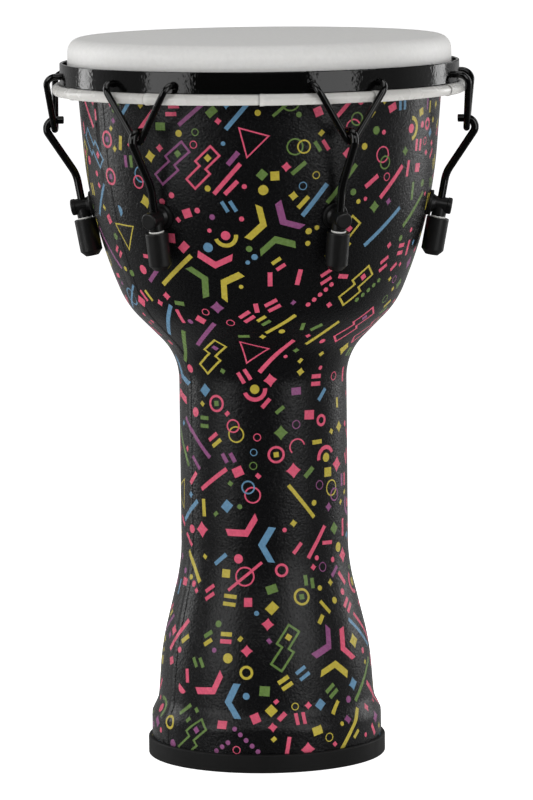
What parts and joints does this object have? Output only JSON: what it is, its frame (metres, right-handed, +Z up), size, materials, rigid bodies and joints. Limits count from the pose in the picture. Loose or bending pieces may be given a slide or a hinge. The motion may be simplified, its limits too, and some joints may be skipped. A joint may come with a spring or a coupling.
{
  "type": "djembe",
  "caption": "Goblet-shaped hand drum with a printed shell, pre-formed white head, steel tension hoop, V hooks, tension rods and long round tuning nuts.",
  "frame": {"origin": "on the floor under the shell's axis, at the centre of the foot", "axes": "+Z up along the shell's axis to the playing surface; the front of the drum faces -Y"},
  "size_m": [0.3518, 0.3355, 0.585],
  "materials": {
    "shell_laminate": "bare moulded laminate inside the shell, dark and slightly rough",
    "printed_wrap": "black printed film with a fine grain and a confetti of geometric shapes in five inks",
    "black_rubber": "moulded black rubber, matte",
    "head_film": "pre-formed white synthetic head, fine matte playing surface, smoother collar",
    "zinc_steel": "zinc-plated steel",
    "white_sleeve": "glossy white plastic sleeve",
    "gloss_black_hoop": "gloss black powder coat with a slight orange peel",
    "cast_black": "cast and satin black powder-coated",
    "white_nylon": "natural white nylon",
    "satin_black_nut": "turned and satin black coated",
    "black_rod": "bent steel rod, gloss black coat"
  },
  "bodies": {
    "shell_body": {"shell": "shell_laminate", "wrap": "printed_wrap", "foot_ring": "black_rubber", "lug_gaskets": "black_rubber", "lug_screws": "zinc_steel", "screw_washers": "zinc_steel", "backing_pads": "black_rubber", "lug_1": "cast_black", "lug_2": "cast_black", "lug_3": "cast_black", "lug_4": "cast_black", "lug_5": "cast_black", "lug_6": "cast_black", "seat_washer_1": "cast_black", "seat_washer_2": "cast_black", "seat_washer_3": "cast_black", "seat_washer_4": "cast_black", "seat_washer_5": "cast_black", "seat_washer_6": "cast_black", "nylon_washer_1": "white_nylon", "nylon_washer_2": "white_nylon", "nylon_washer_3": "white_nylon", "nylon_washer_4": "white_nylon", "nylon_washer_5": "white_nylon", "nylon_washer_6": "white_nylon"},
    "head_assembly": {"drumhead": "head_film", "flesh_hoop": "zinc_steel", "hoop_sleeves": "white_sleeve", "tension_hoop": "gloss_black_hoop"},
    "nut_1": {"tuning_nut_1": "satin_black_nut"},
    "rod_1": {"tension_rod_1": "black_rod"},
    "hook_1": {"v_hook_1": "black_rod"},
    "nut_2": {"tuning_nut_2": "satin_black_nut"},
    "rod_2": {"tension_rod_2": "black_rod"},
    "hook_2": {"v_hook_2": "black_rod"},
    "nut_3": {"tuning_nut_3": "satin_black_nut"},
    "rod_3": {"tension_rod_3": "black_rod"},
    "hook_3": {"v_hook_3": "black_rod"},
    "nut_4": {"tuning_nut_4": "satin_black_nut"},
    "rod_4": {"tension_rod_4": "black_rod"},
    "hook_4": {"v_hook_4": "black_rod"},
    "nut_5": {"tuning_nut_5": "satin_black_nut"},
    "rod_5": {"tension_rod_5": "black_rod"},
    "hook_5": {"v_hook_5": "black_rod"},
    "nut_6": {"tuning_nut_6": "satin_black_nut"},
    "rod_6": {"tension_rod_6": "black_rod"},
    "hook_6": {"v_hook_6": "black_rod"}
  },
  "joints": [
    {"name": "nut_1_turn", "type": "hinge", "parent": "shell_body", "child": "nut_1", "pos_m": [0.14459, -0.01265, 0.44832], "axis": [-0.1815, 0.0159, -0.9833], "range_deg": [0, 4320]},
    {"name": "nut_2_turn", "type": "hinge", "parent": "shell_body", "child": "nut_2", "pos_m": [0.08325, 0.1189, 0.44832], "axis": [-0.1045, -0.1493, -0.9833], "range_deg": [0, 4320]},
    {"name": "nut_3_turn", "type": "hinge", "parent": "shell_body", "child": "nut_3", "pos_m": [-0.06134, 0.13155, 0.44832], "axis": [0.077, -0.1652, -0.9833], "range_deg": [0, 4320]},
    {"name": "nut_4_turn", "type": "hinge", "parent": "shell_body", "child": "nut_4", "pos_m": [-0.14459, 0.01265, 0.44832], "axis": [0.1815, -0.0159, -0.9833], "range_deg": [0, 4320]},
    {"name": "nut_5_turn", "type": "hinge", "parent": "shell_body", "child": "nut_5", "pos_m": [-0.08325, -0.1189, 0.44832], "axis": [0.1045, 0.1493, -0.9833], "range_deg": [0, 4320]},
    {"name": "nut_6_turn", "type": "hinge", "parent": "shell_body", "child": "nut_6", "pos_m": [0.06134, -0.13155, 0.44832], "axis": [-0.077, 0.1652, -0.9833], "range_deg": [0, 4320]},
    {"name": "head_lift", "type": "slide", "parent": "shell_body", "child": "head_assembly", "axis": [0, 0, 1], "range_m": [0, 0.0112]},
    {"name": "rod_1_slide", "type": "slide", "parent": "shell_body", "child": "rod_1", "axis": [0.1815, -0.0159, 0.9833], "range_m": [0, 0.0121]},
    {"name": "hook_1_swing", "type": "hinge", "parent": "head_assembly", "child": "hook_1", "pos_m": [0.15658, -0.0137, 0.5545], "axis": [-0.0872, -0.9962, 0], "range_deg": [0, 3.3]},
    {"name": "rod_2_slide", "type": "slide", "parent": "shell_body", "child": "rod_2", "axis": [0.1045, 0.1493, 0.9833], "range_m": [0, 0.0121]},
    {"name": "hook_2_swing", "type": "hinge", "parent": "head_assembly", "child": "hook_2", "pos_m": [0.09015, 0.12875, 0.5545], "axis": [0.8192, -0.5736, 0], "range_deg": [0, 3.3]},
    {"name": "rod_3_slide", "type": "slide", "parent": "shell_body", "child": "rod_3", "axis": [-0.077, 0.1652, 0.9833], "range_m": [0, 0.0121]},
    {"name": "hook_3_swing", "type": "hinge", "parent": "head_assembly", "child": "hook_3", "pos_m": [-0.06642, 0.14245, 0.5545], "axis": [0.9063, 0.4226, 0], "range_deg": [0, 3.3]},
    {"name": "rod_4_slide", "type": "slide", "parent": "shell_body", "child": "rod_4", "axis": [-0.1815, 0.0159, 0.9833], "range_m": [0, 0.0121]},
    {"name": "hook_4_swing", "type": "hinge", "parent": "head_assembly", "child": "hook_4", "pos_m": [-0.15658, 0.0137, 0.5545], "axis": [0.0872, 0.9962, 0], "range_deg": [0, 3.3]},
    {"name": "rod_5_slide", "type": "slide", "parent": "shell_body", "child": "rod_5", "axis": [-0.1045, -0.1493, 0.9833], "range_m": [0, 0.0121]},
    {"name": "hook_5_swing", "type": "hinge", "parent": "head_assembly", "child": "hook_5", "pos_m": [-0.09015, -0.12875, 0.5545], "axis": [-0.8192, 0.5736, 0], "range_deg": [0, 3.3]},
    {"name": "rod_6_slide", "type": "slide", "parent": "shell_body", "child": "rod_6", "axis": [0.077, -0.1652, 0.9833], "range_m": [0, 0.0121]},
    {"name": "hook_6_swing", "type": "hinge", "parent": "head_assembly", "child": "hook_6", "pos_m": [0.06642, -0.14245, 0.5545], "axis": [-0.9063, -0.4226, 0], "range_deg": [0, 3.3]}
  ],
  "couplings": [
    {"joint": "nut_1_turn", "follows": "head_lift", "rad_per_m": 6699},
    {"joint": "rod_1_slide", "follows": "head_lift", "ratio": 1.0662},
    {"joint": "hook_1_swing", "follows": "head_lift", "rad_per_m": 4.8696},
    {"joint": "nut_2_turn", "follows": "head_lift", "rad_per_m": 6699},
    {"joint": "rod_2_slide", "follows": "head_lift", "ratio": 1.0662},
    {"joint": "hook_2_swing", "follows": "head_lift", "rad_per_m": 4.8696},
    {"joint": "nut_3_turn", "follows": "head_lift", "rad_per_m": 6699},
    {"joint": "rod_3_slide", "follows": "head_lift", "ratio": 1.0662},
    {"joint": "hook_3_swing", "follows": "head_lift", "rad_per_m": 4.8696},
    {"joint": "nut_4_turn", "follows": "head_lift", "rad_per_m": 6699},
    {"joint": "rod_4_slide", "follows": "head_lift", "ratio": 1.0662},
    {"joint": "hook_4_swing", "follows": "head_lift", "rad_per_m": 4.8696},
    {"joint": "nut_5_turn", "follows": "head_lift", "rad_per_m": 6699},
    {"joint": "rod_5_slide", "follows": "head_lift", "ratio": 1.0662},
    {"joint": "hook_5_swing", "follows": "head_lift", "rad_per_m": 4.8696},
    {"joint": "nut_6_turn", "follows": "head_lift", "rad_per_m": 6699},
    {"joint": "rod_6_slide", "follows": "head_lift", "ratio": 1.0662},
    {"joint": "hook_6_swing", "follows": "head_lift", "rad_per_m": 4.8696}
  ]
}
